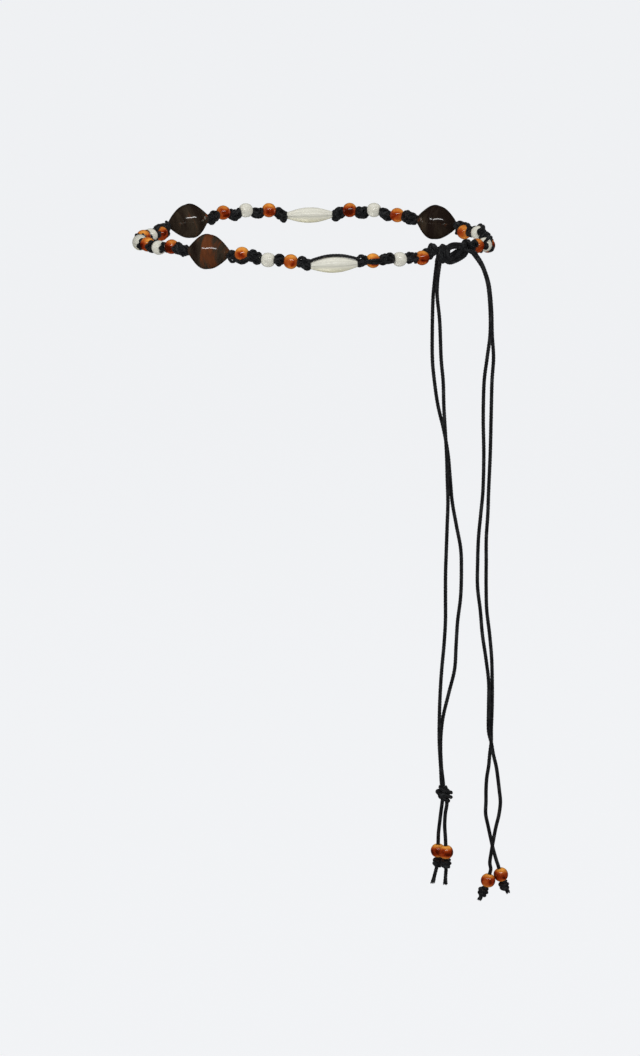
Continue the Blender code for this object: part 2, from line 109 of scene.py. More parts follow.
# One chain stitch. Columns: place along as a share of the stitch, height and depth to the front as shares
# of the most that the cord's middle is away from the chain's. Its legs come up through the stitch before,
# open into a V, close behind the next stitch's legs, and the cord runs on along the back.
CHAIN_STITCH = (
    (0.00, -0.40, -0.30), (0.25, -0.50, 0.80), (0.62, -0.88, 0.92), (1.00, -1.00, 0.35),
    (1.26, -0.62, -0.15), (1.38, 0.00, -0.20), (1.26, 0.62, -0.15), (1.00, 1.00, 0.35), (0.62, 0.88, 0.92),
    (0.25, 0.50, 0.80), (0.00, 0.40, -0.30), (0.12, 0.15, -0.95), (0.50, 0.00, -1.12), (0.88, -0.15, -0.95),
)
STITCH_LEAD = 0.12
STITCH_TRAIL = 0.48
# How uneven stitches are: their size, and their points' places along and across as shares
STITCH_SLACK = (0.90, 1.10)
UNEVEN_ALONG = 0.03
UNEVEN_ACROSS = 0.06
# A stretch of crochet is two chains a quarter turn apart, worked into each other on a core of thicker cord.
CHAIN_ROLLS = (0.0, 90.0)
# Most degrees either way that a stretch starts rolled, and that it rolls on along its length
START_ROLL = 55.0
ROLL_CHANGE = 70.0
# Thickness of the core as a share of the worked cord, how far it stays from a stretch's ends, and its steps
CORE_SHARE = 2.0
CORE_INSET = 0.06
CORE_STEPS = 12

# The cords that pass beside a bead, from its middle to one end. Columns: place as a share of the bead's half
# length, and distance from its middle line as a share of the bead's and the cord's radius.
SMALL_BYPASS = ((0.0, 1.0), (0.72, 0.80), (1.15, 0.50), (1.7, 0.10))
SPINDLE_BYPASS = ((0.0, 1.01), (0.34, 0.96), (0.66, 0.79), (1.0, 0.53), (1.22, 0.15))

# The tie's four bands. Columns: share of the way from the loop's left end to its right end, height as a
# share of the tie's height, depth to the front as a share of its depth, and thickness share of a band.
ARCH_BAND = (
    (1.05, -0.02, -0.6, 1.00), (0.98, 0.05, 0.2, 1.00), (0.85, 0.04, 0.0, 1.10), (0.63, 0.10, 0.0, 1.15),
    (0.49, 0.06, -0.2, 1.15), (0.34, -0.10, -0.2, 1.15), (0.18, -0.22, 0.3, 1.15), (0.09, -0.45, 0.9, 1.10),
    (0.06, -0.75, 0.4, 1.05),
)
CRADLE_BAND = (
    (-0.06, -0.06, 0.0, 1.00), (0.09, -0.12, -0.4, 1.05), (0.19, -0.14, -1.4, 1.10),
    (0.25, 0.06, -0.4, 1.20), (0.23, -0.14, 1.6, 1.35), (0.22, -0.52, 1.7, 1.55), (0.37, -0.76, 0.6, 1.70),
    (0.58, -0.66, 0.2, 1.60), (0.76, -0.50, 0.0, 1.55), (0.89, -0.42, 0.3, 1.45), (0.98, -0.38, 1.1, 1.20),
    (1.05, -0.38, 2.2, 1.00),
)
LOBE_BAND = (
    (0.16, -0.30, 1.2, 1.00), (0.24, -0.78, 1.6, 1.05), (0.42, -0.98, 1.2, 1.05), (0.66, -0.88, 0.8, 1.15),
    (0.88, -0.68, 0.6, 1.25), (1.02, -0.48, 0.5, 1.25), (1.05, -0.26, 0.2, 1.15), (0.98, -0.08, -0.6, 1.00),
)
HIP_BAND = (
    (0.28, -0.04, 0.4, 0.95), (0.10, -0.04, 1.3, 1.05), (-0.02, -0.28, 1.6, 1.15),
    (-0.03, -0.60, 1.6, 1.20), (0.10, -0.84, 1.2, 1.05), (0.26, -0.74, 0.3, 0.95),
)

# Routes of the hanging cords, in millimetres. Columns: height, x of cord a, x of cord b and, where it isn't
# PAIR_HALF_DEPTH, half the depth between the two.
PAIR_HALF_DEPTH = 1.45
LEFT_PAIR_Y = -74.5
LEFT_ROUTE = (
    (-5.5, 84.2, 86.3), (-12.0, 83.4, 85.4), (-20.0, 82.6, 84.7), (-28.5, 81.9, 84.8), (-45.0, 81.5, 86.5),
    (-70.0, 81.5, 87.5), (-87.0, 83.0, 89.0), (-104.0, 85.5, 89.5), (-121.0, 89.5, 90.5),
    (-138.0, 92.5, 91.5), (-154.5, 94.0, 92.0), (-171.5, 95.5, 92.5), (-188.5, 98.5, 92.0),
    (-205.0, 101.5, 91.5), (-222.0, 102.0, 91.0), (-239.0, 101.5, 91.0), (-256.0, 99.5, 91.0),
    (-273.0, 98.5, 90.0), (-290.0, 97.5, 88.5), (-307.0, 93.5, 87.5), (-324.5, 89.5, 87.0),
    (-341.0, 88.0, 87.0), (-358.5, 88.5, 88.0), (-373.0, 90.0, 89.0), (-383.5, 89.3, 92.3, 1.3),
    (-392.0, 88.3, 91.3, 1.8), (-400.0, 87.4, 90.9, 2.8), (-407.0, 86.7, 91.3, 3.9),
)
RIGHT_PAIR_Y = -57.0
RIGHT_ROUTE = (
    (-1.4, 110.4, 111.8), (-6.4, 114.0, 115.0), (-12.0, 117.0, 117.5), (-23.0, 120.0, 120.8),
    (-40.0, 121.5, 122.5), (-57.0, 121.5, 123.0), (-73.5, 119.5, 124.0), (-90.5, 117.5, 123.0),
    (-115.5, 117.0, 122.5), (-141.0, 117.5, 122.0), (-166.5, 117.0, 121.0), (-183.5, 115.5, 120.5),
    (-200.5, 114.0, 119.5), (-217.5, 113.5, 119.5), (-234.5, 113.5, 119.5), (-251.5, 115.5, 120.0),
    (-268.5, 117.0, 122.0), (-285.5, 119.5, 123.5), (-302.5, 121.5, 124.0), (-319.5, 121.5, 124.0),
    (-336.5, 121.5, 123.5), (-345.5, 123.5, 123.5), (-354.0, 125.0, 122.5), (-362.5, 127.0, 121.8),
    (-371.0, 128.2, 120.5), (-379.5, 129.2, 120.0), (-388.0, 130.0, 120.0), (-397.0, 129.0, 119.8),
    (-405.5, 127.0, 121.5), (-414.0, 125.4, 123.3), (-422.5, 124.0, 125.2, 1.4),
    (-431.0, 122.8, 127.6, 1.6),
)
# The ends of the cords, in millimetres: the middle of the bead, the middle of the knot and the cut end
TAIL_ENDS = {
    "left_a": ((86.4, -70.0, -419.8), (86.3, -70.2, -427.9), (82.9, -71.5, -442.0)),
    "left_b": ((91.8, -79.0, -418.8), (92.0, -78.8, -426.8), (91.4, -77.5, -441.6)),
    "right_a": ((121.6, -58.8, -444.0), (118.1, -59.4, -451.7), (115.8, -59.8, -457.2)),
    "right_b": ((130.6, -55.2, -440.6), (132.8, -54.8, -448.3), (135.6, -54.3, -453.4)),
}
CORD_NODES = {
    "left_a": ("tail_cord_left_upper_a", "tail_cord_left_lower_a"),
    "left_b": ("tail_cord_left_upper_b", "tail_cord_left_lower_b"),
    "right_a": ("tail_cord_right_a",),
    "right_b": ("tail_cord_right_b",),
}
PAIR_KNOT_AT = Vector((90.6, -74.5, -378.2)) * MM
PAIR_KNOT_LEAN = Vector((-0.30, 0.0, -1.0))
# Where a hanging cord's points above and below its bead are from its faces, in cord diameters
TAIL_ABOVE_BEAD = 1.5
TAIL_BELOW_BEAD = 0.8

PAIR_KNOT_WIDTH = 0.0036
PAIR_KNOT_DEPTH = 0.0029
PAIR_KNOT_REACH = 0.0042
# Heights of the coils, in cord diameters
PAIR_KNOT_HEIGHT = 2.3
STOPPER_HEIGHT = 1.9
# The pair knot's two coils: shift along the knot in cord diameters, and turns
PAIR_KNOT_COILS = ((-0.5, 1.5), (0.5, 2.0))

STOPPER_RADIUS = 0.00235
STOPPER_TURNS = 2.0
# How far above and below a stopper knot's middle its cord is straight
STOPPER_ABOVE = 0.0030
STOPPER_BELOW = 0.0036
# A cut end swells over its last stretch, and its fibres stick out of it
FRAY_LENGTH = 0.004
FRAY_SWELL = 0.22
FIBRE_COUNT = 14
FIBRE_ROOT = 0.0012
FIBRE_RADII = [0.30, 0.24, 0.10]
# Where fibres start, as shares of the cord's radius, how much they splay, and how far they stick out
FIBRE_PLACES = (0.35, 1.0)
FIBRE_SPLAY = (1.1, 1.5)
FIBRE_LENGTHS = (0.0004, 0.0014)

END_KNOT_LENGTH = 0.0068
END_KNOT_WIDTH = 0.0034
END_KNOT_DEPTH = 0.0026
END_KNOT_TURNS = 2.0
END_KNOT_LEAN = 0.35
# How far its cord's ends are from its middle, as shares of its length: in the crochet, at the tie, and free
END_KNOT_INSIDE = 0.75
END_KNOT_TO_TIE = 0.60
END_KNOT_FREE = 0.30
# Thickness of an end knot's cord as a share of the worked cord, and how far the crochet stays from the
# knot's middle as a share of the knot's length
END_KNOT_SWELL = 1.1
END_KNOT_OVERLAP = 0.4

TIE_GAP = 0.00075
TIE_HEIGHT = 0.0100
TIE_DEPTH = 0.0015
BAND_DIAMETER = 0.0044
# The bands' cords: how many, how far they twist about each other along the band, and where the first starts
ARCH_LAY = (3, 0.9, 0.0)
CRADLE_LAY = (5, 2.2, 0.4)
LOBE_LAY = (3, 1.6, 0.7)
HIP_LAY = (3, 0.8, 0.2)
# A band's depth as a share of its width
BAND_FLATNESS = 0.8
# The strands that end inside the knots reach this share of the way along their band.
TUCKED_SHARE = 0.80
# Where the tie's strands meet the hanging cords, as shares of a cord's first step back from its start
LEFT_LEAD = (0.6, 0.02)
RIGHT_LEAD = (0.3, 0.0)

# Spacing of the points along a worked cord, and the faces round a cord
CORD_STEP = 0.00065
CORD_SIDES = 12
# One turn of a knot's coil has this many points, each moved by up to this share of the cord's diameter.
COIL_STEPS = 8
COIL_UNEVEN = 0.06
# A coil's width at its ends as a share of the knot's, and how much wider it is in its middle
COIL_ENDS = 0.85
COIL_BULGE = 0.25
MERGE_DISTANCE = 0.000001
UP = Vector((0.0, 0.0, 1.0))

# Each kind of bead. Columns: start of its pieces' names, material slot, and how uneven it is as a share.
BEAD_LOOKS = {
    "amber": ("amber_glass_", "amber_bead", 0.020),
    "clear": ("milky_glass_", "milky_bead", 0.025),
    "spindle": ("cream_spindle_", "cream_spindle", 0.006),
    "oval": ("dark_oval_", "dark_oval", 0.008),
}
# Round beads: share of the widest radius where the poles are cut off, and fullness of the outline, 0 being
# a plain drum and 1 a ball
ROUND_OUTLINES = {"amber": (0.40, 0.90), "clear": (0.42, 0.75)}
ROUND_STEPS = 12
# Long beads: rows of place along the half length and share of the radius, and the number of rings
LONG_OUTLINES = {
    "spindle": (((1.0, 0.42), (0.80, 0.595), (0.60, 0.765), (0.40, 0.895), (0.20, 0.975), (0.0, 1.0)), 26),
    "oval": (((1.0, 0.18), (0.80, 0.44), (0.58, 0.68), (0.36, 0.87), (0.17, 0.97), (0.0, 1.0)), 34),
}
LONG_SIDES = {"spindle": 40, "oval": 56}
# Redness of the first hanging cord's bead, and how much more each next one has
TAIL_REDNESS = 0.30
TAIL_REDDER = 0.10
SPINDLE_FACETS = 10
FACET_DEPTH = 0.006
OVAL_SWELL = 0.10
SHARP_EDGE = math.radians(40.0)
# The rounded mouth of a bead's hole, as shares of the hole's radius
MOUTH_RADIUS = 1.25
MOUTH_DEPTH = 0.20

HANGING_SEED = 11
BEAD_SEED = 23
CROCHET_SEED = 5

ROOM_COLOUR = (0.93, 0.94, 0.96, 1.0)
ROOM_STRENGTH = 0.55
FLOOR_SIZE = 60.0
FLOOR_GREYS = ((0.040, 0.040, 0.040), (0.042, 0.042, 0.042))
FLOOR_GLOW = (0.965, 0.978, 1.0)
FLOOR_GLOW_STRENGTH = 0.875
# The lights. Columns: name, place, size, watts, and whether it shows in reflections.
LIGHTS = (
    ("top_softbox", (0.0, 0.0, 1.9), (2.4, 2.0), 22.0, False),
    ("front_left_softbox", (-1.5, -2.0, 1.1), (0.9, 0.9), 16.0, False),
    ("front_strip", (0.4, -2.2, 1.45), (3.0, 0.19), 18.0, True),
    ("back_softbox", (0.8, 2.2, 1.0), (1.6, 1.0), 14.0, False),
)


def length_setting(name, default, description):
    return FloatProperty(name=name, description=description, default=default, unit="LENGTH", precision=4)


def colour_setting(name, default, description):
    return FloatVectorProperty(
        name=name, description=description, default=default, subtype="COLOR", min=0.0, max=1.0
    )


class CordSettings(bpy.types.PropertyGroup):
    """The cord and the crochet made from it."""

    diameter: length_setting("Cord diameter", 0.0026, "Thickness of the waxed cord")
    worked_diameter: length_setting("Worked cord", 0.0021, "Thickness of the cord where it is worked tight")
    ply_depth: FloatProperty(
        name="Ply depth", description="How deep the grooves between the plies are, as a share of the radius",
        default=0.15,
    )
    lay_length: length_setting("Lay length", 0.0060, "Length of one turn of a ply")
    chain_height: length_setting("Chain height", 0.0082, "Height of the crocheted chain")
    chain_depth: length_setting("Chain depth", 0.0074, "Depth of the crocheted chain")
    stitch_length: length_setting("Stitch length", 0.0044, "Length of one chain stitch")
    colour: colour_setting("Cord colour", (0.0050, 0.0050, 0.0056), "Black of the waxed cord")
    sheen_colour: colour_setting("Wax colour", (0.020, 0.021, 0.022), "Grey of the wax where it lies thick")


class BeadSettings(bpy.types.PropertyGroup):
    """Sizes and colours of the beads."""

    amber_diameter: length_setting("Amber diameter", 0.0102, "Width of an amber bead")
    amber_length: length_setting("Amber length", 0.0090, "Length of an amber bead")
    clear_diameter: length_setting("Milky diameter", 0.0100, "Width of a milky bead")
    clear_length: length_setting("Milky length", 0.0088, "Length of a milky bead")
    spindle_diameter: length_setting("Spindle diameter", 0.0109, "Width of a spindle")
    spindle_length: length_setting("Spindle length", 0.0320, "Length of a spindle")
    oval_diameter: length_setting("Oval diameter", 0.0238, "Width of a dark oval")
    oval_length: length_setting("Oval length", 0.0295, "Length of a dark oval")
    hole_radius: length_setting("Hole radius", 0.0016, "Radius of every bead's hole")
    sides: IntProperty(name="Sides", description="Faces round a small bead", default=32, min=12, max=64)
    amber_gold: colour_setting("Amber gold", (0.84, 0.36, 0.06), "Light amber")
    amber_red: colour_setting("Amber red", (0.34, 0.034, 0.006), "Deep amber")
    milky: colour_setting("Milky", (0.74, 0.72, 0.62), "Cloudy clear")
    cream: colour_setting("Cream", (0.77, 0.755, 0.66), "Spindle cream")
    brown: colour_setting("Brown", (0.013, 0.008, 0.006), "Darkest oval brown")
    olive: colour_setting("Olive", (0.036, 0.026, 0.017), "Olive-brown body of the ovals")
    rust: colour_setting("Rust", (0.090, 0.028, 0.010), "Red-brown bands of the ovals")


class StageSettings(bpy.types.PropertyGroup):
    """The camera, the floor and the form of the loop."""

    eye: FloatVectorProperty(
        name="Eye", description="Where the camera stands", default=(0.00417, -5.88369, 0.97104),
        subtype="TRANSLATION",
    )
    look_down: FloatProperty(
        name="Look down", description="How far the camera looks down", default=math.radians(11.3),
        subtype="ANGLE",
    )
    lens: FloatProperty(name="Lens", description="Focal length in millimetres", default=292.2)
    floor_height: length_setting("Floor height", -0.75, "Height of the floor, well below the hanging cords")
    loop_half_width: length_setting("Loop half width", 0.121, "Half the loop's width through the beads")
    loop_half_depth: length_setting("Loop half depth", 0.107, "Half the loop's depth through the beads")


class Value:
    """An output of a shader node. Arithmetic on it adds Math nodes."""

    def __init__(self, finish, socket):
        self.finish = finish
        self.socket = socket

    def math(self, operation, first, second):
        return self.finish.node("ShaderNodeMath", {"operation": operation}, {0: first, 1: second})

    def __add__(self, other):
        return self.math("ADD", self, other)

    __radd__ = __add__

    def __sub__(self, other):
        return self.math("SUBTRACT", self, other)

    def __rsub__(self, other):
        return self.math("SUBTRACT", other, self)

    def __mul__(self, other):
        return self.math("MULTIPLY", self, other)

    __rmul__ = __mul__


class Finish:
    """A material in the making."""

    def __init__(self, name):
        self.material = bpy.data.materials.new(name)
        self.material.use_nodes = True
        self.tree = self.material.node_tree
        self.shader = self.tree.nodes["Principled BSDF"]

    def node(self, kind, settings, inputs, output=0):
        """Adds a node with its settings, such as a ramp's stops, and the values or links of its inputs."""
        made = self.tree.nodes.new(kind)
        for name, value in settings.items():
            if name == "stops":
                ramp = made.color_ramp
                while len(ramp.elements) < len(value):
                    ramp.elements.new(0.5)
                for element, (place, colour) in zip(ramp.elements, value):
                    element.position = place
                    element.color = (*colour, 1.0)
            else:
                setattr(made, name, value)
        for name, value in inputs.items():
            self.plug(made.inputs[name], value)
        return Value(self, made.outputs[output])

    def plug(self, socket, value):
        if isinstance(value, Value):
            self.tree.links.new(value.socket, socket)
        elif socket.type == "RGBA" and len(value) == 3:
            socket.default_value = (*value, 1.0)
        else:
            socket.default_value = value

    def surface(self, **inputs):
        """Sets the shader's own sockets, named with _ for a space."""
        for name, value in inputs.items():
            self.plug(self.shader.inputs[name.replace("_", " ")], value)

    def mix(self, share, first, second):
        """A colour between two."""
        settings = {"data_type": "RGBA"}
        return self.node("ShaderNodeMix", settings, {0: share, 6: first, 7: second}, output=2)

    def noise(self, place, scale, detail=3.0, distortion=0.0):
        inputs = {"Vector": place, "Scale": scale, "Detail": detail, "Distortion": distortion}
        return self.node("ShaderNodeTexNoise", {}, inputs)

    def ramp(self, share, stops):
        return self.node("ShaderNodeValToRGB", {"stops": stops}, {0: share})

    def spread(self, value, low, high, to_low=0.0, to_high=1.0):
        """A value from low to high made one from to_low to to_high."""
        inputs = {"Value": value, 1: low, 2: high, 3: to_low, 4: to_high}
        return self.node("ShaderNodeMapRange", {"clamp": True}, inputs)

    def bump(self, height, distance, strength=1.0):
        inputs = {"Height": height, "Distance": distance, "Strength": strength}
        return self.node("ShaderNodeBump", {}, inputs)

    def attribute(self, name):
        return self.node("ShaderNodeAttribute", {"attribute_name": name}, {}, output="Fac")

    def place(self):
        return self.node("ShaderNodeTexCoord", {}, {}, output="Object")

    def vector(self, x, y, z):
        return self.node("ShaderNodeCombineXYZ", {}, {0: x, 1: y, 2: z})


def cord_finish(settings):
    """Waxed cord: near black, with fibres along the plies and a grey bloom of wax."""
    finish = Finish("waxed_black_cord")
    uv = finish.node("ShaderNodeTexCoord", {}, {}, output="UV")
    drawn_out = {0: uv, 1: (22.0, 700.0, 1.0)}
    fibres = finish.noise(finish.node("ShaderNodeVectorMath", {"operation": "MULTIPLY"}, drawn_out), 1.0, 4.0)
    bloom = finish.noise(finish.place(), 260.0, 4.0, 0.6)
    wax = finish.spread(bloom, 0.48, 0.72)
    finish.surface(
        Base_Color=finish.mix(wax, settings.colour, settings.sheen_colour),
        Roughness=0.34 + 0.26 * fibres + 0.10 * wax,
        Specular_IOR_Level=0.42,
        Sheen_Weight=0.06,
        Sheen_Roughness=0.45,
        Normal=finish.bump(fibres + 0.4 * bloom, 0.00016, 0.55),
    )
    return finish.material


def amber_finish(settings):
    """Amber glass with light painted into it: gold at its rim and above as painted light through the glass,
    red to dark round the cord in its middle, and a faint painted glow.
    """
    finish = Finish("amber_glass")
    up = finish.attribute("up_share")
    along = finish.attribute("along_share")
    red = finish.attribute("redness")
    swirl = finish.noise(finish.place(), 150.0, 2.0, 0.8)
    # Painted light: the glass is painted lighter towards its top, bottom and ends, as light shining through
    # it, and lightest above, as top light.
    painted_rim_light = finish.spread(up * up, 0.04, 0.55)
    end = finish.spread(along * along, 0.20, 1.0)
    tone = 0.26 + 0.40 * painted_rim_light + 0.13 * up + 0.26 * end + 0.90 * (swirl - 0.5) - 0.30 * red
    gold = Vector(settings.amber_gold)
    deep = Vector(settings.amber_red)
    stops = (
        (0.00, deep * 0.20),
        (0.16, deep * 0.70),
        (0.36, deep.lerp(gold, 0.16)),
        (0.62, deep.lerp(gold, 0.60)),
        (0.90, gold),
    )
    colour = finish.ramp(tone, stops)
    finish.surface(
        Base_Color=colour,
        Roughness=0.05 + 0.05 * swirl,
        IOR=1.5,
        Specular_IOR_Level=0.5,
        Transmission_Weight=0.25,
        Coat_Weight=1.0,
        Coat_Roughness=0.02,
        # A faint painted glow: the glass gives off its own colour as light.
        Emission_Color=colour,
        Emission_Strength=0.12,
        Normal=finish.bump(swirl, 0.00008, 0.4),
    )
    return finish.material


def milky_finish(settings):
    """Cloudy clear glass, creamy white, with fine cracks inside."""
    finish = Finish("milky_glass")
    place = finish.place()
    cloud = finish.noise(place, 300.0, 3.0, 1.2)
    cells = {"Vector": place, "Scale": 420.0}
    cracks = finish.node("ShaderNodeTexVoronoi", {"feature": "DISTANCE_TO_EDGE"}, cells)
    line = finish.spread(cracks, 0.0, 0.08, 1.0, 0.0)
    red = finish.attribute("redness")
    pale = Vector(settings.milky)
    body = finish.mix(finish.spread(cloud, 0.32, 0.68), pale * 0.84, pale)
    colour = finish.mix(line * (0.20 + 0.35 * red), body, (0.95, 0.94, 0.89))
    finish.surface(
        Base_Color=colour,
        Roughness=0.14 + 0.12 * cloud,
        IOR=1.49,
        Transmission_Weight=0.25,
        Coat_Weight=0.3,
        Coat_Roughness=0.06,
        # A faint painted glow: the glass gives off its own colour as light.
        Emission_Color=colour,
        Emission_Strength=0.04,
        Normal=finish.bump(cloud + 0.6 * line, 0.00010, 0.45),
    )
    return finish.material


def spindle_finish(settings):
    """Pale translucent acrylic, creamier below, with a grey thread of cord and drawn streaks along it."""
    finish = Finish("cream_acrylic")
    up = finish.attribute("up_share")
    along = finish.attribute("along_share")
    turn = finish.attribute("turn_share")
    drawn_out = finish.vector(along * 1.2, turn * 14.0, finish.attribute("redness") * 9.0)
    streaks = finish.noise(drawn_out, 1.0, 3.0, 0.4)
    cream = Vector(settings.cream)
    yellow = Vector((cream.x * 0.97, cream.y * 0.93, cream.z * 0.70))
    body = finish.mix(finish.spread(up, -0.95, -0.10), yellow, cream)
    streaked = finish.mix(finish.spread(streaks, 0.45, 0.75, 0.0, 0.40), body, cream * 0.74)
    aside = turn - 0.52 + 0.05 * (streaks - 0.5)
    off_line = aside * aside
    deeper = finish.spread(off_line, 0.0, 0.0012, 0.35, 0.0) * (along * along)
    thread = finish.spread(off_line, 0.0001, 0.0012, 0.20, 0.0) + deeper
    colour = finish.mix(thread, streaked, (0.16, 0.17, 0.12))
    finish.surface(
        Base_Color=colour,
        Roughness=0.20 + 0.12 * streaks,
        IOR=1.49,
        Transmission_Weight=0.30,
        Coat_Weight=0.25,
        Coat_Roughness=0.10,
        # A faint painted glow: the acrylic gives off its own colour as light.
        Emission_Color=colour,
        Emission_Strength=0.03,
        Normal=finish.bump(streaks, 0.00008, 0.35),
    )
    return finish.material


def oval_finish(settings):
    """Polished dark brown with bands of rust and olive that run round the bead."""
    finish = Finish("tortoise_brown")
    up = finish.attribute("up_share")
    along = finish.attribute("along_share")
    depth = finish.attribute("redness")
    bands = finish.noise(finish.vector(along * 1.9, up * 0.50, depth * 7.0 + 1.5), 1.0, 3.0, 0.5)
    grain = finish.noise(finish.vector(along * 14.0, up * 1.4, depth * 3.0), 1.0, 3.0, 0.3)
    dark = Vector(settings.brown)
    rust = Vector(settings.rust)
    olive = Vector(settings.olive)
    stops = (
        (0.30, dark),
        (0.44, dark.lerp(olive, 0.45)),
        (0.54, olive),
        (0.64, rust),
        (0.78, rust * 1.35),
    )
    tone = bands + 0.20 * (grain - 0.5) - 0.12 + 0.16 * depth
    finish.surface(
        Base_Color=finish.ramp(tone, stops),
        Roughness=0.10 + 0.08 * grain,
        IOR=1.5,
        Specular_IOR_Level=0.5,
        Coat_Weight=1.0,
        Coat_Roughness=0.03,
    )
    return finish.material


def deselect_all():
    bpy.ops.object.select_all(action="DESELECT")


def make_active(piece):
    deselect_all()
    piece.select_set(True)
    bpy.context.view_layer.objects.active = piece


def add_object(name, data):
    made = bpy.data.objects.new(name, data)
    bpy.context.scene.collection.objects.link(made)
    return made


def dress(piece, material):
    piece.data.materials.clear()
    piece.data.materials.append(material)


def close_mesh():
    """Merges the doubled points of the mesh in edit mode, turns its faces outwards and leaves edit mode."""
    bpy.ops.mesh.select_all(action="SELECT")
    bpy.ops.mesh.remove_doubles(threshold=MERGE_DISTANCE)
    bpy.ops.mesh.normals_make_consistent(inside=False)
    bpy.ops.object.mode_set(mode="OBJECT")


def square_up(axis):
    """The direction square to an axis that points most upwards."""
    return (UP - axis * axis.z).normalized()


def loop_point(angle, lift):
    """A point on the loop: its angle in degrees and its lift as a share of the amber bead's diameter."""
    stage = bpy.context.scene.belt_stage
    beads = bpy.context.scene.belt_beads
    turn = math.radians(angle)
    across = stage.loop_half_width * math.cos(turn)
    return Vector((across, stage.loop_half_depth * math.sin(turn), lift * beads.amber_diameter))


def loop_angle(point):
    stage = bpy.context.scene.belt_stage
    return math.degrees(math.atan2(point.y / stage.loop_half_depth, point.x / stage.loop_half_width))


def smooth_point(start, start_way, end, end_way, share):
    """A point on the smooth curve that leaves the start along one vector and meets the end along another."""
    return (
        start * (2 * share**3 - 3 * share**2 + 1)
        + start_way * (share**3 - 2 * share**2 + share)
        + end * (3 * share**2 - 2 * share**3)
        + end_way * (share**3 - share**2)
    )


def smooth_points(route, spacing):
    """Points at about equal spacing along the smooth curve through the route's points."""
    padded = [route[0] * 2 - route[1], *route, route[-1] * 2 - route[-2]]
    dense = []
    fine_steps = 12
    for before, start, end, after in zip(padded, padded[1:], padded[2:], padded[3:]):
        for step in range(fine_steps):
            t = step / fine_steps
            dense.append(smooth_point(start, (end - before) / 2, end, (after - start) / 2, t))
    dense.append(route[-1])
    lengths = [0.0]
    for one, other in zip(dense, dense[1:]):
        lengths.append(lengths[-1] + (other - one).length)
    count = max(2, round(lengths[-1] / spacing))
    chosen = []
    at = 0
    for index in range(count + 1):
        wanted = lengths[-1] * index / count
        while at < len(lengths) - 2 and lengths[at + 1] < wanted:
            at += 1
        share = (wanted - lengths[at]) / max(lengths[at + 1] - lengths[at], 1e-9)
        chosen.append(dense[at].lerp(dense[at + 1], min(share, 1.0)))
    return chosen


def line_length(points):
    return sum((other - one).length for one, other in zip(points, points[1:]))


def ply_outline(diameter):
    """The outline of a laid cord of three plies, for a curve's bevel."""
    depth = bpy.context.scene.belt_cord.ply_depth
    curve = bpy.data.curves.new("ply_outline", "CURVE")
    curve.dimensions = "2D"
    spline = curve.splines.new("POLY")
    spline.points.add(CORD_SIDES - 1)
    spline.use_cyclic_u = True
    for index, point in enumerate(spline.points):
        turn = -math.tau * index / CORD_SIDES
        radius = diameter / 2 * (1.0 + depth / 2 * math.cos(3 * turn))
        point.co = (radius * math.cos(turn), radius * math.sin(turn), 0.0, 1.0)
    return add_object("ply_outline", curve)


def laid_cord(name, routes, diameter, radii=None):
    """A mesh of twisted cord along each route's points, with UVs once round and in metres along."""
    lay = bpy.context.scene.belt_cord.lay_length
    outline = ply_outline(diameter)
    strands = []
    for number, points in enumerate(routes):
        curve = bpy.data.curves.new(name, "CURVE")
        curve.dimensions = "3D"
        curve.bevel_mode = "OBJECT"
        curve.bevel_object = outline
        curve.use_fill_caps = True
        spline = curve.splines.new("POLY")
        spline.points.add(len(points) - 1)
        shares = radii[number] if radii else [1.0] * len(points)
        run = 0.0
        for index, point in enumerate(spline.points):
            if index:
                run += (points[index] - points[index - 1]).length
            point.co = (*points[index], 1.0)
            point.tilt = math.tau * run / lay
            point.radius = shares[index]
        make_active(add_object(name, curve))
        bpy.ops.object.convert(target="MESH")
        strand = bpy.context.object
        for corner in strand.data.uv_layers[0].data:
            corner.uv.y *= run
        strands.append(strand)
    bpy.data.objects.remove(outline)
    deselect_all()
    for strand in strands:
        strand.select_set(True)
    bpy.context.view_layer.objects.active = strands[0]
    if len(strands) > 1:
        bpy.ops.object.join()
    piece = bpy.context.object
    piece.name = name
    bpy.ops.object.mode_set(mode="EDIT")
    close_mesh()
    bpy.ops.object.shade_smooth()
    dress(piece, cord_material())
    return piece


def settle(piece, node_names):
    """The finished piece rides on the belt and stands in for its CAD nodes, which it hides."""
    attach(piece, "root")
    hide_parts(*node_names)
    return piece


def cord_material():
    found = bpy.data.materials.get("waxed_black_cord")
    return found or cord_finish(bpy.context.scene.belt_cord)


class Station:
    """A bead on the loop: node, middle, direction, half length, radius and the crochet's lift after it."""

    def __init__(self, node, row, angle_before, lift_before, angle_after):
        kind, self.crochet_lift, self.side, self.passing, self.redness = row
        beads = bpy.context.scene.belt_beads
        self.node = node
        self.kind = kind
        self.centre = node_middle(node)
        angle = loop_angle(self.centre)
        middle_ahead = (angle + turned_near(angle_after, angle)) / 2
        middle_behind = (angle + turned_near(angle_before, angle)) / 2
        ahead = loop_point(middle_ahead, self.crochet_lift)
        behind = loop_point(middle_behind, lift_before)
        tangent = loop_point(angle + 1.0, 0.0) - loop_point(angle - 1.0, 0.0)
        tangent.rotate(Matrix.Rotation(math.radians(OVAL_TURNS.get(node, 0.0)), 3, "Z"))
        run = Vector((ahead.x - behind.x, ahead.y - behind.y, 0.0)).length
        slope = (ahead.z - behind.z) / run
        self.axis = Vector((tangent.x, tangent.y, tangent.length * slope)).normalized()
        self.half = getattr(beads, kind + "_length") / 2
        self.radius = getattr(beads, kind + "_diameter") / 2

    def near_face(self):
        return self.centre - self.axis * self.half

    def far_face(self):
        return self.centre + self.axis * self.half


def turned_near(angle, other):
    """The same angle in degrees, given within half a turn of another."""
    return other + (angle - other + 180.0) % 360.0 - 180.0


def node_middle(node):
    low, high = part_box(node)
    return (low + high) / 2


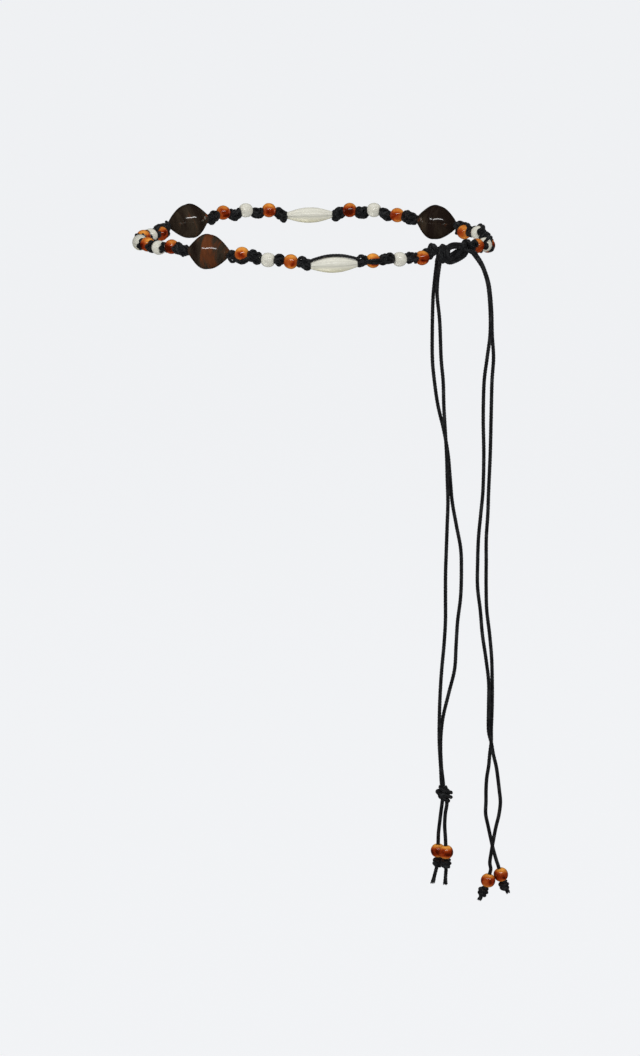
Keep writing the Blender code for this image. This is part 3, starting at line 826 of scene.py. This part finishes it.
def loop_stations():
    counts = {}
    names = []
    for kind, *_ in LOOP_BEADS:
        counts[kind] = counts.get(kind, 0) + 1
        names.append(f"{kind}_bead_{counts[kind]:02d}")
    angles = [loop_angle(node_middle(name)) for name in names]
    stations = []
    for index, (name, row) in enumerate(zip(names, LOOP_BEADS)):
        before = angles[index - 1] if index else START_ANGLE
        lift_before = LOOP_BEADS[index - 1][1] if index else START_CROCHET_LIFT
        after = angles[index + 1] if index + 1 < len(names) else END_ANGLE
        stations.append(Station(name, row, before, lift_before, after))
    return stations


def turned_bead(name, rings, sides):
    """A bead turned from rings of (radius, height): from one mouth of its hole over the outside and back."""
    deselect_all()
    radius, height = rings[0]
    bpy.ops.mesh.primitive_circle_add(vertices=sides, radius=radius, location=(0.0, 0.0, 0.0))
    bead = bpy.context.object
    bead.name = name
    bpy.ops.object.mode_set(mode="EDIT")
    bpy.ops.mesh.select_all(action="SELECT")
    bpy.ops.transform.translate(value=(0.0, 0.0, height))
    for next_radius, next_height in [*rings[1:], rings[0]]:
        bpy.ops.mesh.extrude_region_move(TRANSFORM_OT_translate={"value": (0.0, 0.0, next_height - height)})
        share = next_radius / radius
        bpy.ops.transform.resize(value=(share, share, 1.0))
        radius, height = next_radius, next_height
    close_mesh()
    bpy.ops.object.shade_smooth_by_angle(angle=SHARP_EDGE)
    return bead


def through_hole(outer, hole_radius):
    """The rings of a whole bead: its outside, and its hole with a rounded mouth at each end."""
    end = outer[0][1]
    mouth = hole_radius * MOUTH_RADIUS
    sunk = hole_radius * MOUTH_DEPTH
    return [
        (hole_radius, end + math.copysign(sunk, -end)),
        (mouth, end),
        *outer,
        (mouth, -end),
        (hole_radius, -end - math.copysign(sunk, -end)),
    ]


def round_outline(diameter, length, end_share, fullness):
    """Rings of a round bead with its poles cut off where its radius is end_share of the widest."""
    widest_turn = math.acos(end_share)
    rings = []
    for step in range(ROUND_STEPS + 1):
        turn = widest_turn * (2 * step / ROUND_STEPS - 1.0)
        height = -length / 2 * math.sin(turn) / math.sin(widest_turn)
        rings.append((diameter / 2 * math.cos(turn) ** fullness, height))
    return rings


def table_outline(diameter, length, table, steps):
    """Rings through a table of (place along the half length, share of the radius), smoothed."""
    upper = [Vector((share * diameter / 2, place * length / 2)) for place, share in table]
    whole = upper + [Vector((point.x, -point.y)) for point in reversed(upper) if point.y > 0.0]
    return [tuple(point) for point in smooth_points(whole, length / steps)]


def bead_master(kind):
    """One bead of a kind at the origin, with its hole upright, to be copied."""
    beads = bpy.context.scene.belt_beads
    diameter = getattr(beads, kind + "_diameter")
    length = getattr(beads, kind + "_length")
    if kind in ROUND_OUTLINES:
        outer = round_outline(diameter, length, *ROUND_OUTLINES[kind])
    else:
        outer = table_outline(diameter, length, *LONG_OUTLINES[kind])
    rings = through_hole(outer, beads.hole_radius)
    return turned_bead(kind + "_master", rings, LONG_SIDES.get(kind, beads.sides))


def widen(vertex, share):
    vertex.co.x *= share
    vertex.co.y *= share


def swell_flank(bead, half, fullness):
    """Makes the lower half of a turned bead rounder, as the ovals have one full and one straight flank."""
    for vertex in bead.data.vertices:
        below = min(max(-vertex.co.z / half, 0.0), 1.0)
        widen(vertex, 1.0 + fullness * 4.0 * below * (1.0 - below))


def cut_facets(bead, count, depth):
    """Presses flat sides into a turned bead, deepest in their middles, and leaves its hole round."""
    hole = bpy.context.scene.belt_beads.hole_radius * 1.3
    for vertex in bead.data.vertices:
        radius = math.hypot(vertex.co.x, vertex.co.y)
        if radius > hole:
            turn = math.atan2(vertex.co.y, vertex.co.x)
            middle = abs(math.cos(turn * count / 2))
            widen(vertex, 1.0 - depth * middle**1.5)


def write_shares(piece, centre, axis, radius, half, redness):
    """The attributes that a bead's finish reads: height, place along and round it, and how red it is."""
    side = axis.cross(UP).normalized()
    up = side.cross(axis)
    rows = {"up_share": [], "along_share": [], "turn_share": [], "redness": []}
    for vertex in piece.data.vertices:
        away = vertex.co - centre
        rows["up_share"].append(away.z / radius)
        rows["along_share"].append(away.dot(axis) / half)
        rows["turn_share"].append(abs(math.atan2(away.dot(side), away.dot(up))) / math.pi)
        rows["redness"].append(redness)
    for name, values in rows.items():
        attribute = piece.data.attributes.new(name, "FLOAT", "POINT")
        attribute.data.foreach_set("value", values)


def place_bead(master, name, centre, axis, roll, redness, finish, wobble):
    """A copy of a bead, turned onto its axis, a little uneven as a moulded bead is."""
    bead = add_object(name, master.data.copy())
    size = max(vertex.co.length for vertex in bead.data.vertices)
    for vertex in bead.data.vertices:
        shift = noise.noise(vertex.co / size * 1.4 + Vector((roll * 5.0, redness * 3.0, 0.0)))
        vertex.co *= 1.0 + wobble * shift
    turn = axis.to_track_quat("Z", "Y") @ Quaternion(UP, roll)
    bead.data.transform(Matrix.Translation(centre) @ turn.to_matrix().to_4x4())
    half = max((vertex.co - centre).dot(axis) for vertex in bead.data.vertices)
    radius = max((vertex.co - centre).cross(axis).length for vertex in bead.data.vertices)
    write_shares(bead, centre, axis, radius, half, redness)
    dress(bead, finish)
    return bead


def tail_line(name):
    """The points of a hanging cord, through its bead and into its stopper knot, and its bead's direction."""
    if name.startswith("left"):
        rows, middle_y, front = LEFT_ROUTE, LEFT_PAIR_Y, "b"
    else:
        rows, middle_y, front = RIGHT_ROUTE, RIGHT_PAIR_Y, "a"
    beads = bpy.context.scene.belt_beads
    diameter = bpy.context.scene.belt_cord.diameter
    route = []
    for height, at_a, at_b, *half_depth in rows:
        behind = half_depth[0] if half_depth else PAIR_HALF_DEPTH
        y = middle_y + (-behind if name.endswith(front) else behind)
        route.append(Vector((at_a if name.endswith("a") else at_b, y, height)) * MM)
    bead_at, knot_at, _ = (Vector(place) * MM for place in TAIL_ENDS[name])
    axis = (knot_at - route[-1]).normalized()
    half = beads.amber_length / 2
    route += [
        bead_at - axis * (half + diameter * TAIL_ABOVE_BEAD),
        bead_at - axis * half,
        bead_at,
        bead_at + axis * (half + diameter * TAIL_BELOW_BEAD),
    ]
    return route, axis


def wound_knot(centre, axis, side, strand, height, width, depth, turns, start, end, rng):
    """Route of a knot: the cord runs through its own coil, winds back up round itself and through again."""
    across = axis.cross(side).normalized()
    side = across.cross(axis).normalized()
    core = strand * 0.5
    top = centre - axis * (height / 2)
    bottom = centre + axis * (height / 2)
    route = [*start, top + side * core, centre + side * core, bottom + side * core * 1.4]
    count = round(turns * COIL_STEPS)
    for index in range(count + 1):
        share = index / count
        turn = math.tau * turns * share
        swell = COIL_ENDS + COIL_BULGE * math.sin(math.pi * share)
        place = bottom.lerp(top, share)
        place += side * (width * swell * math.cos(turn)) + across * (depth * swell * math.sin(turn))
        place += Vector([rng.uniform(-1.0, 1.0) for _ in range(3)]) * strand * COIL_UNEVEN
        route.append(place)
    route += [top - side * core * 0.6, centre - side * core, bottom - side * core, *end]
    return route


class StretchLine:
    """The middle line of a stretch of crochet between two beads, which sinks or rises to its own lift."""

    def __init__(self, start, start_way, end, end_way, lift=None):
        length = (end - start).length
        self.length = length
        self.ends = (start, start_way * length, end, end_way * length)
        middle = smooth_point(*self.ends, 0.5)
        amber = bpy.context.scene.belt_beads.amber_diameter
        self.drop = Vector((0.0, 0.0, lift * amber - middle.z if lift is not None else 0.0))

    def place(self, share):
        bounded = min(max(share, 0.0), 1.0)
        return smooth_point(*self.ends, share) + self.drop * math.sin(math.pi * bounded) ** 2

    def at(self, share, height, front):
        """A point at a place along, with a height and a depth to the outside from the middle line."""
        step = 0.02
        along = (self.place(share + step) - self.place(share - step)).normalized()
        up = square_up(along)
        return self.place(share) + up * height + along.cross(up) * front


def chain_points(line, roll_from, roll_to, rng):
    """The control points of chain stitches along a stretch of crochet. The chain rolls as it goes."""
    cord = bpy.context.scene.belt_cord
    count = max(1, round(line.length / cord.stitch_length - STITCH_TRAIL))
    whole = count + STITCH_LEAD + STITCH_TRAIL
    high = (cord.chain_height - cord.worked_diameter) / 2
    deep = (cord.chain_depth - cord.worked_diameter) / 2
    points = [line.place(0.0)]
    for number in range(count):
        roll = math.radians(roll_from + (roll_to - roll_from) * (number + 0.5) / count)
        slack = rng.uniform(*STITCH_SLACK)
        for along, height, front in CHAIN_STITCH:
            share = (number + along + STITCH_LEAD + rng.uniform(-UNEVEN_ALONG, UNEVEN_ALONG)) / whole
            up = (height * slack + rng.uniform(-UNEVEN_ACROSS, UNEVEN_ACROSS)) * high
            out = (front + rng.uniform(-UNEVEN_ACROSS, UNEVEN_ACROSS)) * deep
            turned_up = up * math.cos(roll) + out * math.sin(roll)
            turned_out = out * math.cos(roll) - up * math.sin(roll)
            points.append(line.at(share, turned_up, turned_out))
    points.append(line.at((count + STITCH_LEAD) / whole, 0.0, 0.0))
    points.append(line.place(1.0))
    return points


def core_points(line):
    """The cord bundle inside a stretch of crochet, which closes the gaps between its stitches."""
    span = 1.0 - 2 * CORE_INSET
    return [line.place(CORE_INSET + span * step / CORE_STEPS) for step in range(CORE_STEPS + 1)]


def bypass_routes(station):
    """Routes of the cords that pass beside a bead, from the crochet before it to the crochet after it."""
    cord = bpy.context.scene.belt_cord
    up = square_up(station.axis)
    out = station.axis.cross(up)
    reach = station.radius + cord.worked_diameter / 2
    step = math.degrees(cord.worked_diameter / reach)
    half = SPINDLE_BYPASS if station.kind == "spindle" else SMALL_BYPASS
    table = [(-along, away) for along, away in half[:0:-1]] + [*half]
    routes = []
    for number in range(station.passing):
        turn = math.radians(station.side + (number - (station.passing - 1) / 2) * step)
        side = up * math.sin(turn) + out * math.cos(turn)
        route = []
        for along, away in table:
            route.append(station.centre + station.axis * (station.half * along) + side * (reach * away))
        routes.append(route)
    return routes


def loop_ends():
    """The middles of the knots that end the loop, and the directions from each to the tie."""
    right = loop_point(START_ANGLE, START_LIFT)
    right_way = (loop_point(START_ANGLE - 1.0, START_LIFT) - right).normalized()
    left = loop_point(END_ANGLE, END_LIFT)
    left_way = (loop_point(END_ANGLE + 1.0, END_LIFT) - left).normalized()
    return right, right_way, left, left_way


def end_knot(centre, way, towards_tie, rng):
    """The knot that ends the crochet, wound across the loop. Its first point lies inside the crochet."""
    strand = bpy.context.scene.belt_cord.diameter
    axis = (way + UP * END_KNOT_LEAN).normalized()
    start = [centre - way * END_KNOT_LENGTH * END_KNOT_INSIDE]
    end = [centre + way * END_KNOT_LENGTH * (END_KNOT_TO_TIE if towards_tie else END_KNOT_FREE)]
    return wound_knot(
        centre, axis, UP, strand, END_KNOT_LENGTH - strand * 1.5, END_KNOT_WIDTH, END_KNOT_DEPTH,
        END_KNOT_TURNS, start, end, rng,
    )


def tie_strands(table, left, right, count, twist, phase):
    """Routes of a band's cords side by side, wound a little about each other."""
    cord = bpy.context.scene.belt_cord
    along = right - left
    outward = Vector((along.y, -along.x, 0.0)).normalized()
    rows = []
    for share, height, depth, thickness in table:
        place = left + along * share + UP * (height * TIE_HEIGHT) + outward * (depth * TIE_DEPTH)
        rows.append(Vector((*place, thickness * BAND_DIAMETER / 2)))
    middle = smooth_points(rows, CORD_STEP * 2)
    routes = [[] for _ in range(count)]
    total = len(middle) - 1
    for index, point in enumerate(middle):
        before = middle[max(index - 1, 0)].to_3d()
        after = middle[min(index + 1, total)].to_3d()
        way = (after - before).normalized()
        across = way.cross(outward).normalized()
        front = across.cross(way).normalized()
        reach = max(point.w - cord.diameter / 2, 0.0)
        for number, route in enumerate(routes):
            turn = phase + math.tau * number / count + twist * index / total
            swing = across * math.cos(turn) + front * math.sin(turn) * BAND_FLATNESS
            route.append(point.to_3d() + swing * reach)
    return routes


class BELT_OT_add_stage(bpy.types.Operator):
    """Add the camera at the photograph's angle, the soft lights and the pale floor"""

    bl_idname = "belt.add_stage"
    bl_label = "Stage"

    def execute(self, context):
        stage = context.scene.belt_stage
        context.scene.view_settings.view_transform = "Standard"
        camera_data = bpy.data.cameras.new("photo_camera")
        camera_data.lens = stage.lens
        camera_data.clip_end = FLOOR_SIZE
        camera = add_object("photo_camera", camera_data)
        camera.location = stage.eye
        camera.rotation_euler = (math.pi / 2 - stage.look_down, 0.0, 0.0)
        context.scene.camera = camera
        for row in LIGHTS:
            self.add_light(*row)
        self.add_world(context)
        self.add_floor(stage)
        return {"FINISHED"}

    def add_light(self, name, place, size, power, in_reflections):
        light = bpy.data.lights.new(name, "AREA")
        light.shape = "RECTANGLE"
        light.size, light.size_y = size
        light.energy = power
        lamp = add_object(name, light)
        lamp.location = place
        lamp.visible_glossy = in_reflections
        lamp.rotation_euler = (-Vector(place)).to_track_quat("-Z", "Y").to_euler()

    def add_world(self, context):
        world = bpy.data.worlds.new("pale_room")
        world.use_nodes = True
        background = world.node_tree.nodes["Background"]
        background.inputs["Color"].default_value = ROOM_COLOUR
        background.inputs["Strength"].default_value = ROOM_STRENGTH
        context.scene.world = world
        world.cycles_visibility.glossy = False

    def add_floor(self, stage):
        deselect_all()
        bpy.ops.mesh.primitive_plane_add(size=FLOOR_SIZE, location=(0.0, 0.0, stage.floor_height))
        floor = bpy.context.object
        floor.name = "pale_floor"
        finish = Finish("pale_floor")
        grain = finish.noise(finish.place(), 3.0, 2.0)
        finish.surface(
            Base_Color=finish.mix(grain, *FLOOR_GREYS),
            Roughness=0.95,
            Specular_IOR_Level=0.0,
            Emission_Color=FLOOR_GLOW,
            Emission_Strength=FLOOR_GLOW_STRENGTH,
        )
        floor.data.materials.append(finish.material)
        floor.visible_glossy = False


class BELT_OT_add_hanging_cords(bpy.types.Operator):
    """Add the four hanging cords with their amber beads and stopper knots"""

    bl_idname = "belt.add_hanging_cords"
    bl_label = "Hanging cords"

    def execute(self, context):
        rng = random.Random(HANGING_SEED)
        cord = context.scene.belt_cord
        beads = context.scene.belt_beads
        pair_knot = self.add_pair_knot(cord, rng)
        master = bead_master("amber")
        glass = amber_finish(beads)
        _, slot, wobble = BEAD_LOOKS["amber"]
        for number, name in enumerate(TAIL_ENDS):
            route, axis = tail_line(name)
            points = smooth_points(route, CORD_STEP * 1.4)
            line = laid_cord("hanging_cord_" + name, [points], cord.diameter)
            settle(line, CORD_NODES[name])
            bead_at = Vector(TAIL_ENDS[name][0]) * MM
            roll = rng.uniform(0.0, math.tau)
            redness = TAIL_REDNESS + TAIL_REDDER * number
            bead = place_bead(master, "tail_amber_" + name, bead_at, axis, roll, redness, glass, wobble)
            settle(bead, ["tail_bead_" + name])
            stopper = self.add_stopper(name, axis, cord, rng)
            line_length(points)
        bpy.data.objects.remove(master)
        return {"FINISHED"}

    def add_pair_knot(self, cord, rng):
        """The knot tied in both left cords at once: two cords wound side by side."""
        axis = PAIR_KNOT_LEAN.normalized()
        side = Vector((1.0, 0.0, 0.0))
        strand = cord.diameter
        routes = []
        for shift, turns in PAIR_KNOT_COILS:
            centre = PAIR_KNOT_AT + axis * strand * shift + side * (strand * shift * 0.9)
            route = wound_knot(
                centre, axis, side, strand, strand * PAIR_KNOT_HEIGHT, PAIR_KNOT_WIDTH, PAIR_KNOT_DEPTH,
                turns, [centre - axis * PAIR_KNOT_REACH], [centre + axis * PAIR_KNOT_REACH], rng,
            )
            routes.append(smooth_points(route, CORD_STEP))
        knot = laid_cord("pair_knot_cords", routes, strand)
        return settle(knot, ["pair_knot"])

    def add_stopper(self, name, axis, cord, rng):
        """The stopper knot below a bead, and the frayed cut end under it."""
        _, knot_at, end_at = (Vector(place) * MM for place in TAIL_ENDS[name])
        tip = (end_at - knot_at).normalized()
        strand = cord.diameter
        side = axis.cross(Vector((0.3, 1.0, 0.0))).normalized()
        below = knot_at + tip * STOPPER_BELOW
        route = wound_knot(
            knot_at, (axis + tip * 0.5).normalized(), side, strand, strand * STOPPER_HEIGHT, STOPPER_RADIUS,
            STOPPER_RADIUS, STOPPER_TURNS, [knot_at - axis * STOPPER_ABOVE],
            [below, below.lerp(end_at, 0.5), end_at], rng,
        )
        points = smooth_points(route, CORD_STEP)
        shares = []
        for point in points:
            near = max(0.0, 1.0 - (point - end_at).length / FRAY_LENGTH)
            shares.append(1.0 + FRAY_SWELL * near)
        routes = [points]
        radii = [shares]
        for index in range(FIBRE_COUNT):
            turn = math.tau * index / FIBRE_COUNT
            away = (side * math.cos(turn) + side.cross(tip) * math.sin(turn)) * strand * 0.5
            out = rng.uniform(*FIBRE_PLACES)
            root = end_at - tip * FIBRE_ROOT + away * out * 0.7
            point = end_at + away * out * rng.uniform(*FIBRE_SPLAY) + tip * rng.uniform(*FIBRE_LENGTHS)
            routes.append([root, root.lerp(point, 0.5) + away * 0.10, point])
            radii.append(FIBRE_RADII)
        knot = laid_cord("stopper_cords_" + name, routes, strand, radii)
        return settle(knot, ["stopper_knot_" + name])


class BELT_OT_add_beads(bpy.types.Operator):
    """Add the loop's amber, milky, spindle and oval beads"""

    bl_idname = "belt.add_beads"
    bl_label = "Beads"

    def execute(self, context):
        rng = random.Random(BEAD_SEED)
        beads = context.scene.belt_beads
        masters = {kind: bead_master(kind) for kind in BEAD_LOOKS}
        cut_facets(masters["spindle"], SPINDLE_FACETS, FACET_DEPTH)
        swell_flank(masters["oval"], beads.oval_length / 2, OVAL_SWELL)
        finishes = {
            "amber": bpy.data.materials.get("amber_glass") or amber_finish(beads),
            "clear": milky_finish(beads),
            "spindle": spindle_finish(beads),
            "oval": oval_finish(beads),
        }
        for station in loop_stations():
            prefix, slot, wobble = BEAD_LOOKS[station.kind]
            axis = -station.axis if station.node in TURNED_ROUND else station.axis
            bead = place_bead(
                masters[station.kind], prefix + station.node[-2:], station.centre, axis,
                rng.uniform(0.0, math.tau), station.redness, finishes[station.kind], wobble,
            )
            settle(bead, [station.node])
        for master in masters.values():
            bpy.data.objects.remove(master)
        return {"FINISHED"}


class BELT_OT_add_crochet(bpy.types.Operator):
    """Add the crocheted chains between the beads, the cords beside the beads and the knots that end them"""

    bl_idname = "belt.add_crochet"
    bl_label = "Crochet"

    def execute(self, context):
        self.rng = random.Random(CROCHET_SEED)
        self.cord = context.scene.belt_cord
        stations = loop_stations()
        right, right_way, left, left_way = loop_ends()
        self.main = []
        knot = end_knot(right, -right_way, False, self.rng)[::-1]
        self.others = [(smooth_points(knot, CORD_STEP), END_KNOT_SWELL)]
        first = stations[0]
        start = right - right_way * END_KNOT_LENGTH * END_KNOT_OVERLAP
        self.work_stretch(StretchLine(start, -right_way, first.near_face(), first.axis))
        number = 1
        for here, there in zip(stations, [*stations[1:], None]):
            self.main.append(here.centre)
            self.others += [(smooth_points(route, CORD_STEP), 1.0) for route in bypass_routes(here)]
            if here.kind in LARGE_KINDS:
                self.add_run(number)
                number += 1
                self.main = [here.centre]
                self.others = []
            end, end_way, lift = left - left_way * END_KNOT_LENGTH * END_KNOT_OVERLAP, left_way, None
            if there:
                end, end_way, lift = there.near_face(), there.axis, here.crochet_lift
            line = StretchLine(here.far_face(), here.axis, end, end_way, lift)
            self.work_stretch(line, there is not None and there.node in SLIM_BEFORE)
        knot = end_knot(left, left_way, True, self.rng)
        self.others.append((smooth_points(knot, CORD_STEP), END_KNOT_SWELL))
        self.add_run(number)
        return {"FINISHED"}

    def work_stretch(self, line, slim=False):
        """Works a stretch's chains, one where it is slim, and its core. The first runs on through beads."""
        roll = self.rng.uniform(-START_ROLL, START_ROLL)
        roll_end = roll + self.rng.uniform(-ROLL_CHANGE, ROLL_CHANGE)
        first, second = CHAIN_ROLLS
        self.main += chain_points(line, roll + first, roll_end + first, self.rng)
        points = chain_points(line, roll + second, roll_end + second, self.rng)
        if not slim:
            self.others.append((smooth_points(points, CORD_STEP), 1.0))
        self.others.append((core_points(line), CORE_SHARE))

    def add_run(self, number):
        routes = [smooth_points(self.main, CORD_STEP)] + [points for points, _ in self.others]
        radii = [[1.0] * len(routes[0])] + [[share] * len(points) for points, share in self.others]
        run = laid_cord(f"crochet_chain_{number}", routes, self.cord.worked_diameter, radii)
        settle(run, [f"crochet_run_{number}"])


class BELT_OT_add_tie(bpy.types.Operator):
    """Add the half knot of doubled cord that joins the loop's ends"""

    bl_idname = "belt.add_tie"
    bl_label = "Tie"

    def execute(self, context):
        cord = context.scene.belt_cord
        right, right_way, left, left_way = loop_ends()
        left = left + left_way * (END_KNOT_LENGTH / 2 + TIE_GAP)
        right = right + right_way * (END_KNOT_LENGTH / 2 + TIE_GAP)
        arch = tie_strands(ARCH_BAND, left, right, *ARCH_LAY)
        cradle = tie_strands(CRADLE_BAND, left, right, *CRADLE_LAY)
        for side, lead, band in (("left", LEFT_LEAD, arch), ("right", RIGHT_LEAD, cradle)):
            for letter, route in zip("ab", band):
                first, second = tail_line(f"{side}_{letter}")[0][:2]
                route += [first - (second - first) * share for share in lead]
        whole = arch[:2] + cradle[:2]
        whole += tie_strands(LOBE_BAND, left, right, *LOBE_LAY)
        whole += tie_strands(HIP_BAND, left, right, *HIP_LAY)
        tucked = [route[: round(len(route) * TUCKED_SHARE)] for route in arch[2:]]
        tucked += [route[: round(len(route) * TUCKED_SHARE)] + [right] for route in cradle[2:]]
        routes = [smooth_points(route, CORD_STEP) for route in whole + tucked]
        tie = laid_cord("tie_cords", routes, cord.diameter)
        settle(tie, ["tie_knot"])
        return {"FINISHED"}


class BELT_PT_panel(bpy.types.Panel):
    """Buttons and sizes of the belt"""

    bl_label = "Crochet bead belt"
    bl_idname = "BELT_PT_panel"
    bl_space_type = "VIEW_3D"
    bl_region_type = "UI"
    bl_category = "Belt"

    def draw(self, context):
        for operator in OPERATORS:
            self.layout.operator(operator.bl_idname)
        for settings in SETTINGS:
            group = getattr(context.scene, settings)
            box = self.layout.box()
            for name in group.__annotations__:
                box.prop(group, name)


SETTINGS = {"belt_cord": CordSettings, "belt_beads": BeadSettings, "belt_stage": StageSettings}
OPERATORS = (
    BELT_OT_add_stage,
    BELT_OT_add_hanging_cords,
    BELT_OT_add_beads,
    BELT_OT_add_crochet,
    BELT_OT_add_tie,
)
CLASSES = (*SETTINGS.values(), *OPERATORS, BELT_PT_panel)


def register():
    for item in CLASSES:
        bpy.utils.register_class(item)
    for name, group in SETTINGS.items():
        setattr(bpy.types.Scene, name, PointerProperty(type=group))


def unregister():
    for name in SETTINGS:
        delattr(bpy.types.Scene, name)
    for item in reversed(CLASSES):
        bpy.utils.unregister_class(item)


def main():
    register()
    bpy.ops.belt.add_stage()
    bpy.ops.belt.add_hanging_cords()
    bpy.ops.belt.add_beads()
    bpy.ops.belt.add_crochet()
    bpy.ops.belt.add_tie()


if __name__ == "__main__":
    main()
